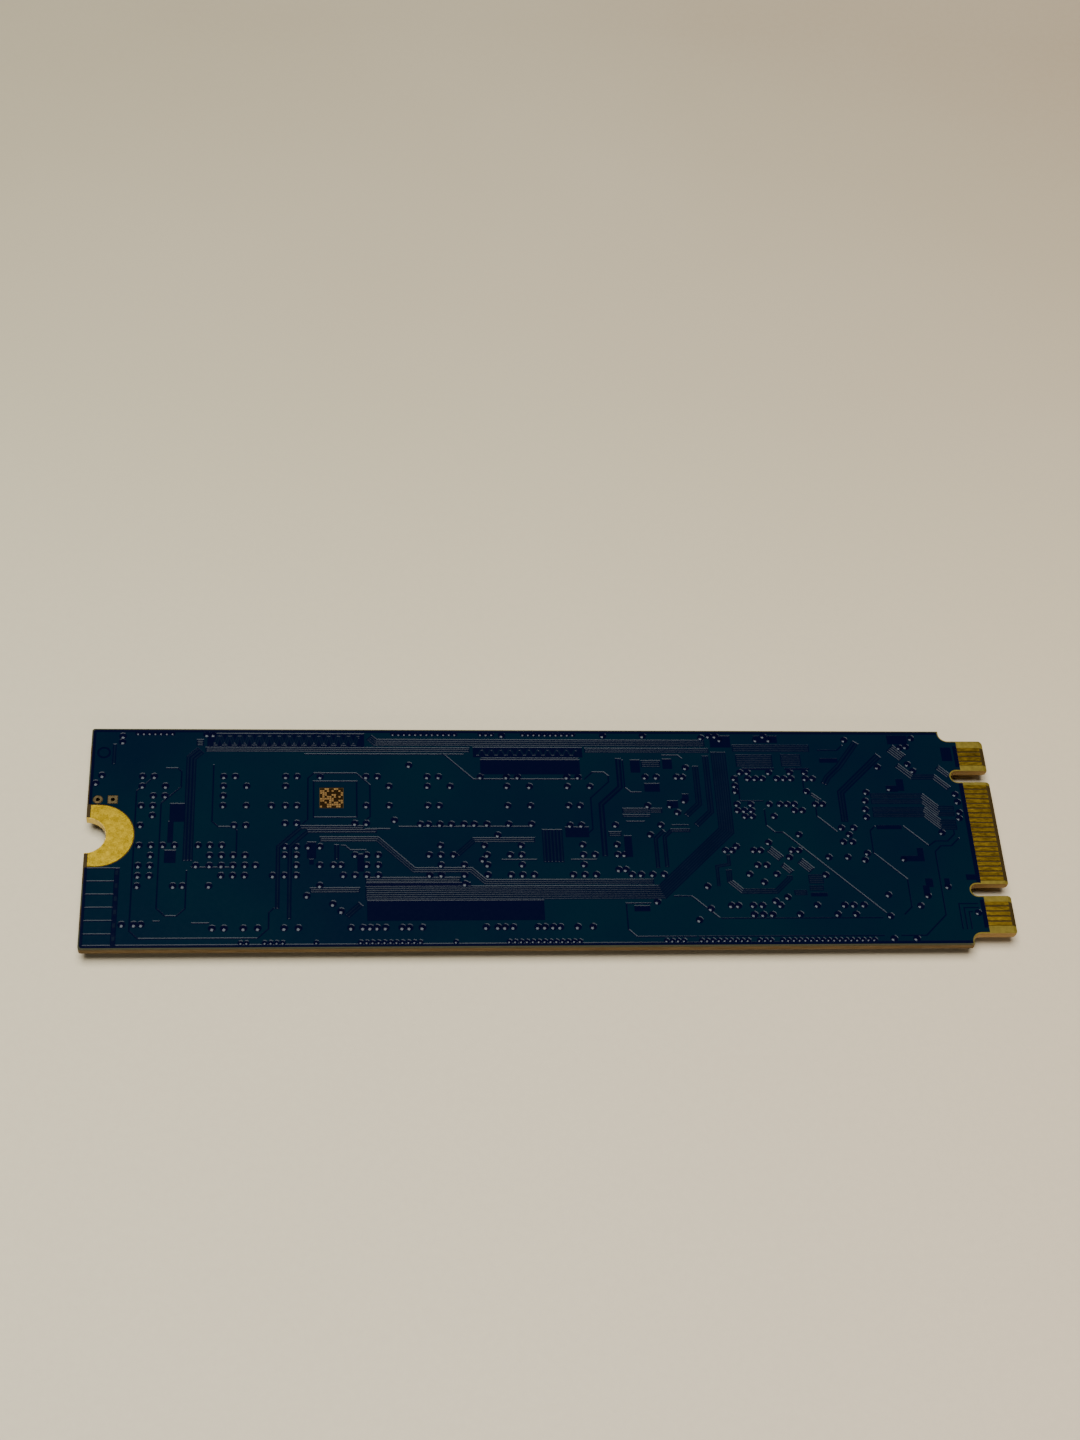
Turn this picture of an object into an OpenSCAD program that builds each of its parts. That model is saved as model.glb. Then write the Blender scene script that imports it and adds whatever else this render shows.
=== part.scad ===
// Gumstick solid state drive: a narrow card that lies solder side up on its flash packages.
// Origin at the bottom centre of the whole part, +X towards the card edge, +Z up, millimetres.

/* [Board] */
// Length of the card, from the screw end to the card edge
board_l = 80; // [79:0.5:110]
// Width of the card
board_w = 22; // [21:0.5:30]
// Thickness of the card with its solder mask
board_t = 0.8; // [0.6:0.1:1.6]
// Thickness of the solder mask and of the copper beside it
mask_t = 0.05; // [0.045:0.005:0.08]
// Bare strip of laminate along the routed edges
mask_inset = 0.12; // [0.05:0.01:0.2]
// Corner radius at the screw end
corner_r = 0.25; // [0.1:0.05:1]

/* [Card edge] */
// Width of the narrow tab that enters the socket
tab_w = 19.85; // [19.5:0.05:20.2]
// Length of the tab
tab_l = 4; // [3.8:0.1:6]
// Corner radius at the leading end of the tab
tab_r = 0.3; // [0.1:0.05:0.6]
// Radius of the inside corners beside the tab
shoulder_r = 0.8; // [0.2:0.1:1]
// Length of the bevel on the leading edge
bevel_l = 0.35; // [0.1:0.05:0.38]
// Depth of that bevel on each face
bevel_h = 0.18; // [0.05:0.01:0.25]
// Width of each key slot
key_w = 1.2; // [1:0.05:1.3]
// Depth of each key slot
key_l = 3.5; // [2:0.1:3.6]
// Lead-in corner at the mouth of each key slot
key_lead = 0.12; // [0.05:0.01:0.2]
// Spacing of the fingers on one face
finger_pitch = 0.5; // [0.5:0.01:0.52]
// Width of a finger
finger_w = 0.35; // [0.25:0.01:0.4]
// Distance from the leading edge to the fingers
finger_end = 0.4; // [0.38:0.01:0.6]
// Distance from the leading edge to the solder mask
mask_end = 2.5; // [1.5:0.1:3]

/* [Screw end] */
// Radius of the half-round screw notch
screw_r = 1.75; // [1.5:0.05:2]
// Thickness of the plating on the notch wall
plating_t = 0.05; // [0.03:0.01:0.1]
// Radius of the gold screw ring on the solder side
ring_r = 3.05; // [2.7:0.05:3.3]
// Distance from the board end to the centre of that ring
ring_shift = 1.05; // [0.6:0.05:1.3]
// Strip left free of copper at the board end
ring_edge = 0.35; // [0.1:0.05:0.5]
// Gap between the gold ring and the solder mask
ring_gap = 0.1; // [0.05:0.01:0.2]
// Radius of the gold screw ring on the component side
front_ring_r = 2.75; // [2.5:0.05:3]

/* [Flash packages] */
// Size of a flash package along the card
flash_l = 12; // [11:0.1:12.3]
// Size of a flash package across the card
flash_w = 18; // [13.5:0.5:20]
// Height of the moulded flash body
flash_h = 0.95; // [0.7:0.05:1.2]
// Height of the solder balls under it
flash_ball_h = 0.25; // [0.15:0.01:0.35]
// Gap between neighbouring flash packages
flash_gap = 0.37; // [0.2:0.01:0.5]
// Distance from the screw end to the first flash package
flash_start = 3.1; // [2.8:0.05:3.4]
// Ball spacing of the flash packages
flash_pitch = 1; // [0.9:0.01:1.05]

/* [Controller and memory] */
// Side of the square controller package
controller_s = 11; // [9:0.1:11.2]
// Height of the controller above its balls
controller_h = 0.8; // [0.6:0.05:1]
// Length of the memory package along the card
memory_l = 13.3; // [12:0.1:13.4]
// Width of the memory package
memory_w = 7.5; // [6.8:0.1:7.8]
// Height of the memory package above its balls
memory_h = 0.85; // [0.6:0.05:1]

/* [Copper relief] */
// Height of the copper, which the mask follows
copper_h = 0.02; // [0.015:0.005:0.03]
// Top width of a track
track_w = 0.06; // [0.04:0.01:0.08]
// Width of the slope beside a track
track_slope = 0.055; // [0.03:0.005:0.06]
// Width of the slope where the pour ends
pour_slope = 0.07; // [0.05:0.01:0.1]
// Space between a bundle of tracks and the foot of the pour
channel_side = 0.03; // [0.01:0.01:0.08]
// Width of a groove at its floor
groove_w = 0.05; // [0.04:0.01:0.1]
// Distance from the board's edges to the pour
pour_inset = 0.34; // [0.25:0.01:0.4]
// Radius of a tented via
via_r = 0.26; // [0.18:0.01:0.26]
// Height of a tented via above the pour
via_rise = 0.03; // [0.01:0.005:0.04]
// Gap between a via and the pour round it
via_gap = 0.04; // [0.02:0.01:0.1]

/* [Hidden] */
$fn = 32;

// Levels, from the surface that the card lies on
under_h = flash_h + flash_ball_h;
top_z = under_h + board_t;
core_lo = under_h + mask_t;
core_hi = top_z - mask_t;

// Places along the card
screw_x = -board_l / 2;
edge_x = board_l / 2;
shoulder_x = edge_x - tab_l;
mask_x = edge_x - mask_end;
ring_x = screw_x + ring_shift;

// The tracks are drawn on a card of this size and keep their place from the nearer end or edge
drawn_l = 80;
drawn_w = 22;
from_screw_end = (drawn_l - board_l) / 2;
from_card_edge = (board_l - drawn_l) / 2;
from_far_edge = (board_w - drawn_w) / 2;

flash_count = 4;
function flash_x(i) = screw_x + flash_start + flash_l / 2 + i * (flash_l + flash_gap);

// Finger numbers count up along +Y, and the middle of the tab lies at this one
middle_pin = 38;
key_pins = [15.5, 62.5];
function pin_y(n) = (n - middle_pin) * finger_pitch / 2;
back_pins = [each [2:2:10], each [20:2:58], each [68:2:74]];
front_pins = [each [1:2:11], each [21:2:57], each [67:2:75]];

big = 30;
eps = 0.01;

// Outlines of the card

module strip(x0, x1, w, r0, r1) {
    translate([x0 + r0, -w / 2]) square([x1 - x0 - r0 - r1, w]);
    if (r0 > 0) rounded_end(x0 + r0, x0, w, r0);
    if (r1 > 0) rounded_end(x1 - r1, x1, w, r1);
}

module rounded_end(xc, x_end, w, r) {
    translate([min(xc, x_end), -w / 2 + r]) square([r, w - 2 * r]);
    for (s = [-1, 1]) translate([xc, s * (w / 2 - r)]) circle(r = r);
}

module inside_corner(s, e) {
    r = min(shoulder_r, (board_w - tab_w) / 2);
    difference() {
        translate([shoulder_x - e - eps, s > 0 ? tab_w / 2 - e - eps : -tab_w / 2 - r])
            square([r + e + eps, r + e + eps]);
        translate([shoulder_x + r, s * (tab_w / 2 + r)]) circle(r = r + e);
    }
}

module key_slot(y, e) {
    w = key_w + 2 * e;
    x = edge_x - key_l + key_w / 2;
    translate([x, y]) circle(d = w);
    translate([x, y - w / 2]) square([key_l, w]);
    if (e == 0)
        polygon([
            [edge_x - key_lead, y - w / 2], [edge_x + eps, y - w / 2 - key_lead - eps],
            [edge_x + eps, y + w / 2 + key_lead + eps], [edge_x - key_lead, y + w / 2]
        ]);
}

// The card's outline, drawn in from the routed edge by e
module card_outline(e = 0) {
    difference() {
        union() {
            strip(screw_x + e, shoulder_x - e, board_w - 2 * e, corner_r, 0);
            strip(shoulder_x - 1, edge_x - e, tab_w - 2 * e, 0, tab_r);
            for (s = [-1, 1]) inside_corner(s, e);
        }
        for (n = key_pins) key_slot(pin_y(n), e);
    }
}

module circuit_board() {
    color("#3c4a35") difference() {
        translate([0, 0, core_lo]) linear_extrude(core_hi - core_lo) card_outline();
        translate([screw_x, 0, 0]) cylinder(r = screw_r + plating_t, h = big);
        for (p = through_holes)
            translate([p.x, p.y, 0]) cylinder(r = hole_r + plating_t, h = big);
        rotate([90, 0, 0]) linear_extrude(big, center = true) leading_bevels();
    }
}

module leading_bevels() {
    for (side = [[core_hi, 1], [core_lo, -1]])
        polygon([
            [edge_x - bevel_l, side[0]], [edge_x, side[0] - side[1] * bevel_h],
            [edge_x + 1, side[0] - side[1] * bevel_h], [edge_x + 1, side[0] + side[1]],
            [edge_x - bevel_l, side[0] + side[1]]
        ]);
}

// Solder mask

module mask_outline() {
    intersection() {
        card_outline(mask_inset);
        translate([screw_x, -big / 2]) square([mask_x - screw_x, big]);
    }
}

// Copper-free windows in the pour, as [left, lower, right, upper]
windows_left = [
    [-16, -8.4, -1, -6.5], [-5.9, 6.3, 2.9, 7.8], [-6.5, 8.1, 3.2, 9.1],
    [-29.9, 9.15, -16.2, 10.5], [1.3, -0.2, 3.3, 0.8], [-16.1, -5.03, -7.2, -4.75],
    [-21.1, -2.3, -20.4, -0.7], [-16.8, -3.6, -16.3, -1.9], [-32.9, 1.4, -31.7, 3.2],
    [-33, -0.7, -32.6, 1.4], [-33.2, -2.7, -32.3, -1.5], [7.5, 6.5, 8.3, 7.8],
    [10.4, 6.9, 11.2, 7.9], [6.4, -2.2, 7, -0.1], [8.6, 4.5, 9.9, 5.3], [6.8, -7.6, 8.1, -7.1],
    [10.5, 2.8, 11.4, 3.5], [11.9, 3.5, 12.4, 4.2], [-20.9, -2.9, -20.6, -2.4]
];
windows_right = [
    [31.4, 4.6, 32, 5.8], [30.4, 4.5, 31.4, 5.1], [30.8, -2.7, 32.3, -2.2],
    [32.3, -2.7, 32.8, -1.4], [32.6, -5.3, 33.2, -4.5], [32.3, -6.3, 32.8, -5.2],
    [34.3, -5.4, 34.7, -4.5], [36, 7.8, 36.9, 9.2], [29, 0.6, 31.2, 0.95],
    [31.2, 9.6, 33, 10.5], [36.3, -4.6, 37.2, -4.1], [24.7, 7.6, 26.3, 8],
    [14.9, 9.2, 16.7, 10.4], [17.5, 6.8, 20.4, 6.95], [21.4, 6.8, 23.6, 6.95],
    [22.3, -6.2, 23.7, -5.9], [18.9, 9.7, 21, 10.4]
];

// The strip before the fingers has no copper either, nor has the rim of the board
finger_groups = [[2, 10], [20, 58], [68, 74]];
bare_strip = 0.35;
rim = [-board_l / 2 + pour_inset, -board_w / 2 + pour_inset, board_w / 2 - pour_inset];

module solder_mask_back() {
    color("#0d3852") difference() {
        translate([0, 0, core_hi]) linear_extrude(mask_t) difference() {
            mask_outline();
            ring_shape(ring_gap);
            translate([screw_x - 1, -ring_r - ring_gap])
                square([ring_shift + 1, 2 * (ring_r + ring_gap)]);
            for (p = through_holes) hole_land(p, pad_gap);
            translate([patch_x, patch_y]) square(patch_s + 2 * pad_gap, center = true);
        }
        recess([-board_l, -board_w, board_l, rim[1]]);
        recess([-board_l, rim[2], board_l, board_w]);
        recess([-board_l, -board_w, rim[0], board_w]);
        for (g = finger_groups) recess([
            mask_x - bare_strip, pin_y(g[0]) - finger_w, board_l, pin_y(g[1]) + finger_w
        ]);
        for (i = [0:mark_count]) groove([
            [rim[0] - 0.2, mark_first.y - i * mark_pitch],
            [mark_first.x + mark_size.x + 0.1, mark_first.y - i * mark_pitch]
        ]);
        recess([
            mark_first.x + mark_size.x, mark_first.y - mark_count * mark_pitch,
            mark_first.x + mark_size.x + marks_gap, mark_first.y
        ]);
        tooling_ring();
        translate([from_screw_end, 0]) {
            for (w = windows_left) recess(w);
            translate([0, from_far_edge]) channels(far_bus);
            channels(concat(memory_bus, loop_buses, fan_out_buses));
            for (g = grooves_left) groove(g);
        }
        translate([from_card_edge, 0]) {
            for (w = windows_right) recess(w);
            channels(concat(controller_buses, lanes));
            for (g = grooves_right) groove(g);
        }
        at_flash_vias() pit();
        at_controller_vias() pit();
        at_edge_vias() pit(fence_r);
    }
}

// A flat-floored gap in the pour with sloping sides
module recess(w) {
    e = pour_slope * (1 + eps / copper_h);
    h = copper_h + eps;
    points = [
        [w[0], w[1], 0], [w[2], w[1], 0], [w[2], w[3], 0], [w[0], w[3], 0],
        [w[0] - e, w[1] - e, h], [w[2] + e, w[1] - e, h], [w[2] + e, w[3] + e, h], [w[0] - e, w[3] + e, h]
    ];
    sides = [for (k = [0:3]) [k, k + 4, (k + 1) % 4 + 4, (k + 1) % 4]];
    translate([0, 0, top_z - copper_h]) polyhedron(points, concat([[0, 1, 2, 3], [7, 6, 5, 4]], sides));
}

module tooling_ring() {
    translate([from_screw_end - 38.85, 8.45, top_z - copper_h]) difference() {
        cylinder(r = 0.6, h = 1);
        cylinder(r = 0.42, h = 1);
    }
}

module solder_mask_front() {
    color("#0d3852") translate([0, 0, under_h]) linear_extrude(mask_t) difference() {
        mask_outline();
        translate([screw_x, 0]) circle(r = front_ring_r + ring_gap);
        for (p = through_holes) hole_land(p, pad_gap);
        for (f = fiducials_front) translate(f) circle(r = fiducial_open);
    }
}

// Gold fingers

finger_l = mask_end - finger_end;
finger_chamfer = 0.06;

module finger(n) {
    c = finger_chamfer;
    translate([mask_x, pin_y(n)]) linear_extrude(mask_t) polygon([
        [0, -finger_w / 2], [finger_l - c, -finger_w / 2], [finger_l, -finger_w / 2 + c],
        [finger_l, finger_w / 2 - c], [finger_l - c, finger_w / 2], [0, finger_w / 2]
    ]);
}

module gold_fingers_back() {
    color("#c9a227") translate([0, 0, core_hi]) for (n = back_pins) finger(n);
}

module gold_fingers_front() {
    color("#c9a227") translate([0, 0, under_h]) for (n = front_pins) finger(n);
}

// Screw end

module ring_shape(e) {
    intersection() {
        union() {
            translate([ring_x, 0]) circle(r = ring_r + e);
            translate([screw_x, -ring_r - e]) square([ring_shift, 2 * (ring_r + e)]);
        }
        translate([screw_x + ring_edge, -big / 2]) square(big);
    }
}

module screw_ring_back() {
    color("#c9a227") translate([0, 0, core_hi]) linear_extrude(mask_t) difference() {
        ring_shape(0);
        translate([screw_x, 0]) circle(r = screw_r + plating_t);
    }
}

module screw_ring_front() {
    color("#c9a227") translate([0, 0, under_h]) linear_extrude(mask_t) intersection() {
        difference() {
            translate([screw_x, 0]) circle(r = front_ring_r);
            translate([screw_x, 0]) circle(r = screw_r + plating_t);
        }
        translate([screw_x + ring_edge, -big / 2]) square(big);
    }
}

module castellation_plating() {
    color("#d8b84a") translate([0, 0, under_h]) linear_extrude(board_t) intersection() {
        translate([screw_x, 0]) difference() {
            circle(r = screw_r + plating_t);
            circle(r = screw_r);
        }
        translate([screw_x, -big / 2]) square(big);
    }
}

// Pads, marks and the data patch

hole_r = 0.18;
land_r = 0.38;
pad_gap = 0.06;
hole_spacing = 1.27;
hole_place = [from_screw_end - 39.12, 3.62];
through_holes = [hole_place, hole_place + [hole_spacing, 0]];

// The first pad is round and the second is square
module hole_land(p, e) {
    translate(p)
        if (p == through_holes[0]) circle(r = land_r + e);
        else square(2 * (land_r + e), center = true);
}

module through_hole_pads() {
    color("#b9a06a") for (p = through_holes) difference() {
        union() {
            translate([0, 0, core_hi]) linear_extrude(mask_t) hole_land(p, 0);
            translate([0, 0, under_h]) linear_extrude(mask_t) hole_land(p, 0);
            translate([p.x, p.y, under_h]) cylinder(r = hole_r + plating_t, h = board_t);
        }
        translate([p.x, p.y, 0]) cylinder(r = hole_r, h = big);
    }
}

patch_x = from_screw_end - 19.05;
patch_y = 3.8;
patch_s = 2;
patch_cells = 10;
patch_floor = 0.008;
cell_gap = 0.03;

// A plain computed sprinkle of squares, which stands for no message
function cell_lit(i, j) = (i * 7 + j * 11 + i * j * 5 + floor(i * j / 3)) % 4 < 2;

module data_patch() {
    cell = patch_s / patch_cells;
    color("#b7873d") translate([patch_x - patch_s / 2, patch_y - patch_s / 2, core_hi]) {
        cube([patch_s, patch_s, patch_floor]);
        for (i = [0:patch_cells - 1], j = [0:patch_cells - 1]) if (cell_lit(i, j))
            translate([i * cell + cell_gap / 2, j * cell + cell_gap / 2, 0])
                cube([cell - cell_gap, cell - cell_gap, mask_t]);
    }
}

fiducial_r = 0.45;
fiducial_open = 0.75;
fiducials_front = [
    [from_screw_end - 38.6, -8.6], [from_screw_end - 38.6, 8.6], [from_card_edge + 36.3, -9.6]
];

module fiducials() {
    color("#c58f5a") for (f = fiducials_front) translate([f.x, f.y, under_h])
        cylinder(r = fiducial_r, h = mask_t);
}

// A column of copper marks, one for each copper layer, parted by grooves in the mask
mark_count = 6;
mark_pitch = 1.27;
mark_size = [2.3, 0.24];
mark_first = [from_screw_end - 39.6, -3.25];
marks_gap = 0.35;

module layer_marks() {
    color("#12405c") for (i = [0:mark_count - 1]) translate([
        mark_first.x + mark_size.x + marks_gap / 2,
        mark_first.y - (i + 0.5) * mark_pitch, top_z - copper_h
    ])
        rotate([0, 0, 90]) translate([0, -mark_size.y / 2, 0])
            cube([mark_pitch / 3, mark_size.y, copper_h]);
}

// Copper relief: the mask follows the copper, so tracks stand in channels with their tops level
// with the pour round them, and a gap between two pours is a groove

function unit(v) = v / norm(v);
function turned(v) = [-v.y, v.x];
function normal_at(path, i) = turned(unit(path[i + 1] - path[i]));

// The path moved sideways by d, with mitred corners
function beside(path, d) = [
    for (i = [0:len(path) - 1])
        let (
            a = normal_at(path, max(i - 1, 0)),
            b = normal_at(path, min(i, len(path) - 2)),
            m = a + b
        )
        path[i] + m * (2 * d / (m * m))
];

// The path with both ends drawn in by s
function drawn_in(path, s) = [
    for (i = [0:len(path) - 1])
        i == 0 ? path[0] + s * unit(path[1] - path[0])
        : i == len(path) - 1 ? path[i] - s * unit(path[i] - path[i - 1])
        : path[i]
];

function backwards(path) = [for (i = [len(path) - 1:-1:0]) path[i]];

// A bar along the path whose half width runs from lo at the bottom to hi at the top
module tapered(path, lo, hi, h) {
    last = len(path) - 1;
    lower = drawn_in(path, max(hi - lo, 0));
    upper = drawn_in(path, max(lo - hi, 0));
    rims = [
        [beside(lower, lo), 0], [beside(lower, -lo), 0],
        [beside(upper, -hi), h], [beside(upper, hi), h]
    ];
    points = [for (i = [0:last]) for (r = rims) [r[0][i].x, r[0][i].y, r[1]]];
    sides = [
        for (i = [0:last - 1]) for (k = [0:3])
            [4 * i + k, 4 * i + (k + 1) % 4, 4 * i + 4 + (k + 1) % 4, 4 * i + 4 + k]
    ];
    ends = [[0, 3, 2, 1], [for (k = [0:3]) 4 * last + k]];
    polyhedron(points, concat(sides, ends));
}

module track(path, slope) {
    translate([0, 0, top_z - copper_h]) tapered(path, track_w / 2 + slope, track_w / 2, copper_h);
}

module groove(path) {
    translate([0, 0, top_z - copper_h])
        tapered(path, groove_w / 2, groove_w / 2 + pour_slope * (1 + eps / copper_h), copper_h + eps);
}

// A bundle is [path, number of tracks, pitch, extra space beside them]
module bundles(list) {
    for (b = list) for (i = [0:b[1] - 1])
        track(beside(b[0], (i - (b[1] - 1) / 2) * b[2]), track_slope);
}

module channels(list) {
    for (b = list) {
        extra = len(b) > 3 ? b[3] : 0;
        half = (b[1] - 1) / 2 * b[2] + track_w / 2 + track_slope + channel_side + extra;
        e = pour_slope * (1 + eps / copper_h);
        path = drawn_in(b[0], -channel_side - e);
        translate([0, 0, top_z - copper_h]) tapered(path, half, half + e, copper_h + eps);
    }
}

// A path that swings between two levels to gain length
function meander(x0, waves, pitch, y0, y1) = [
    for (i = [0:waves - 1]) let (x = x0 + i * pitch, q = pitch / 4)
        each [[x, y0], [x + q, y0], [x + 2 * q, y1], [x + 3 * q, y1]]
];

// The two meanders stand in wide windows of their own
meanders = [
    [meander(-29.4, 15, 0.87, 9.45, 10.2), 2, 0.2],
    [meander(-6.25, 11, 0.84, 8.35, 8.85), 1, 0.2]
];
far_bus = [
    [[[-30, 8.82], [-6.9, 8.82]], 2, 0.2], [[[3.5, 8.82], [14.6, 8.82]], 2, 0.2],
    [[[-15.7, 10.1], [-15.2, 9.6], [14.3, 9.6]], 3, 0.2], [[[-30.8, 9.55], [-30.3, 9.55]], 3, 0.18]
];

memory_bus = [
    [[[-16.3, 0.8], [-21.65, 0.8], [-23.6, -1.15], [-23.6, -7.2]], 1, 0.2, 0.03],
    [[[-15.2, 0.4], [-21.07, 0.4], [-22.6, -1.13], [-22.6, -8.2]], 1, 0.2, 0.03],
    [[[-20, -0.4], [-15.1, -0.4], [-12, -3.5], [-7.1, -3.5], [-5.9, -4.7], [8.6, -4.7]], 2, 0.2],
    [[[-16.1, -4.45], [-8.1, -4.45]], 2, 0.18],
    [[[-20.8, -5.45], [-16.7, -5.45]], 2, 0.2],
    [[[-16.1, -5.75], [9.3, -5.75], [15.5, 0.45], [15.5, 8.6]], 6, 0.21],
    [[[-16.6, -6.85], [-17.7, -7.95]], 2, 0.25]
];

loop_buses = [
    [[[-30.5, 8.7], [-31.25, 7.95], [-31.25, -2.5]], 3, 0.28],
    [[[-37.95, 9.3], [-37.95, 7.3]], 1, 0.2], [[[-18.6, -1], [-18.6, -2.4]], 1, 0.2, 0.05]
];

fan_out_buses = [
    [[[-8.2, -1.95], [-6.75, -0.5], [-1.5, -0.5]], 2, 0.2],
    [[[0.1, 0.5], [0.1, -2.7]], 6, 0.3],
    [[[6.4, 7.9], [6.4, 4.95], [4.6, 3.15], [4.6, -2.1]], 1, 0.2, 0.1],
    [[[6.5, 2.5], [9.9, 2.5]], 2, 0.2], [[[6.5, 1.95], [8.8, 1.95]], 1, 0.2],
    [[[9.9, 0.4], [9.15, -0.35], [9.15, -3.3]], 1, 0.2, 0.03],
    [[[12.2, 0.45], [10.6, 0.45], [9.95, -0.2], [9.95, -3.2]], 1, 0.2, 0.03],
    [[[8.5, 7.4], [10.1, 7.4]], 3, 0.22], [[[12.1, 2], [13.3, 3.2], [13.3, 7.1]], 2, 0.25],
    [[[12.9, 1], [14.3, 2.4], [14.3, 8.2]], 2, 0.25], [[[5.1, 0.1], [6.1, 0.1]], 2, 0.2]
];

controller_buses = [
    [[[17.1, 7.75], [20.3, 7.75]], 6, 0.2], [[[16.9, 9.1], [23.8, 9.1]], 3, 0.22],
    [[[21.2, 7.8], [22.9, 7.8]], 6, 0.2],
    [[[28.2, 9.7], [26.3, 7.1], [25.2, 6], [24.8, 5.3]], 2, 0.3],
    [[[30.1, 8.3], [26.2, 4.4], [26.2, 1.4]], 2, 0.25, 0.05],
    [[[23.5, 4.2], [24.2, 3.6]], 1, 0.2], [[[19.1, -1.5], [20, -2.4]], 3, 0.2],
    [[[20.1, -3.1], [20.8, -3.8]], 2, 0.2], [[[21.7, -2.7], [22.6, -3.6]], 3, 0.2],
    [[[15.4, -2.1], [15.4, -3], [14.3, -3.2], [14.3, -5.1]], 1, 0.2],
    [[[15.3, -3.6], [15.3, -4.7], [16.3, -5.7], [19.3, -5.7], [20.6, -4.4], [20.6, -4.2]], 2, 0.2],
    [[[20.9, -5.85], [21.9, -5.85]], 2, 0.2], [[[22.3, -4.5], [23.5, -4.5]], 4, 0.2],
    [[[22.3, -5.4], [23.4, -5.4]], 2, 0.2]
];

// Pairs that run to the fingers, stepped down by the same amount
lane_ys = [4.05, 3.45, 2.6, 2.05];
lane_step = 1.3;
lanes = concat([
    for (y = lane_ys)
        [[[28.9, y], [33.5, y], [33.5 + lane_step, y - lane_step], [36.2, y - lane_step]], 2, 0.2]
], [
    [[[31.7, 7.25], [32.9, 6.05], [34.9, 6.05], [36.1, 4.85]], 2, 0.25],
    [[[35.4, 7.05], [36.3, 6.15]], 2, 0.22], [[[31.3, 9.1], [32.3, 8.1]], 4, 0.22]
]);

grooves_left = [
    [[-33.5, 6.85], [-32.4, 6.85], [-32.05, 6.5], [-32.05, 4.9], [-33.7, 3.25], [-33.7, -7.15],
        [-32.95, -7.9], [-32, -7.9], [-31.3, -7.2], [-31.3, -3.4]],
    [[-34.6, 5.75], [-35.85, 4.5], [-35.85, -9.3], [-35.1, -10.05], [-25.2, -10.05],
        [-24.3, -9.15], [-24.3, -7.6], [-23.8, -7.1]],
    [[-29.3, 7.3], [-29.3, 1.4], [-28.75, 0.85], [-27.5, 0.85], [-27.15, 0.5], [-27.15, -1.9]],
    [[-31, -3.2], [-27.3, -3.2]],
    [[-16.1, 1.5], [-15.7, 1.9], [-15.7, 5.15], [-16.9, 6.35], [-20.6, 6.35], [-21.1, 5.85],
        [-21.1, 1.6], [-21.6, 1.1]],
    [[-20.7, 5.5], [-16.75, 5.5]], [[-20.7, 1.8], [-16.75, 1.8]],
    [[-20.6, 5.6], [-20.6, 1.7]], [[-16.85, 5.6], [-16.85, 1.7]],
    [[-18.3, -1.05], [-17.9, -1.05], [-17.45, -1.5], [-16, -1.5]],
    [[-16.2, 0.62], [-13.9, 0.62]],
    [[-13.3, 0.84], [-1.4, 0.84]], [[-9.3, 8.5], [-6.6, 5.75], [3.1, 5.75]],
    [[-4.5, -2.5], [-1.3, -2.5]], [[1.5, -2.5], [3.9, -2.5]], [[-5.9, 7.95], [2.9, 7.95]],
    [[-21.5, 8.35], [-7.3, 8.35]],
    [[3.2, 5.7], [4, 6.5], [5, 6.5], [5.4, 6.1], [5.4, 5.5], [3.7, 3.8], [3.7, 0.6],
        [3.2, 0.1]],
    [[6.8, 7.9], [6.8, 4.9], [7.3, 4.4], [8.3, 4.4]],
    [[6.6, 1.35], [8.4, 1.35]], [[10.6, 1], [12.3, 1]], [[10.3, 8.3], [11.8, 8.3], [12.2, 7.9]],
    [[10.2, -6.15], [11.8, -6.15], [14.1, -8.35]],
    [[8.3, -6.85], [6.1, -6.85], [6.1, -9.4], [6.8, -10.1], [12, -10.1]],
    [[-34, -8.4], [-33.3, -8.4]], [[-30.8, -8.6], [-29.2, -8.6]]
];

grooves_right = [
    [[14.1, -8.35], [28.4, -8.35]], [[12, -10.1], [28.3, -10.1]],
    [[19.1, 2.7], [19.1, 0.95], [19.8, 0.25], [20.5, 0.25], [28.7, -7.95]],
    [[23.75, 2.9], [23.75, 1.9], [25.4, 0.25]], [[27, 9.5], [26.4, 8.9], [24.5, 8.9]],
    [[17, 6.2], [17, 3.6]], [[16.9, 3.5], [19.2, 3.5]], [[22.9, 6.2], [22.9, 4.8]],
    [[31.3, 0.95], [33.4, -1.15], [34.1, -0.65], [35.2, -0.65], [35.9, 0.05], [35.9, 0.6]],
    [[28.9, 0.95], [28.35, 0.4], [28.35, -1.9], [31, -4.55], [31, -7.3], [30.2, -8.1]],
    [[36.3, -0.3], [35.45, -1.15], [34.5, -1.15], [33.9, -1.75], [33.9, -8.1], [31.9, -10.1],
        [29.6, -10.1]],
    [[35.2, -9.6], [35.2, -7], [37, -7]], [[35.6, -9.6], [35.6, -7.4], [37, -7.4]],
    [[36, -9.6], [36, -7.8], [36.4, -7.8]]
];

module far_bus_tracks() {
    color("#3d4f70") translate([from_screw_end, from_far_edge])
        bundles(concat(meanders, far_bus));
}

module memory_bus_tracks() {
    color("#3d4f70") translate([from_screw_end, 0]) bundles(memory_bus);
}

module loop_tracks() {
    color("#3d4f70") translate([from_screw_end, 0]) bundles(loop_buses);
}

module fan_out_tracks() {
    color("#3d4f70") translate([from_screw_end, 0]) bundles(fan_out_buses);
}

module controller_tracks() {
    color("#3d4f70") translate([from_card_edge, 0]) bundles(controller_buses);
}

module lane_tracks() {
    color("#3d4f70") translate([from_card_edge, 0]) bundles(lanes);
}

// Tented vias: each is a low dome that stands in a shallow pit in the pour

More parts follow.
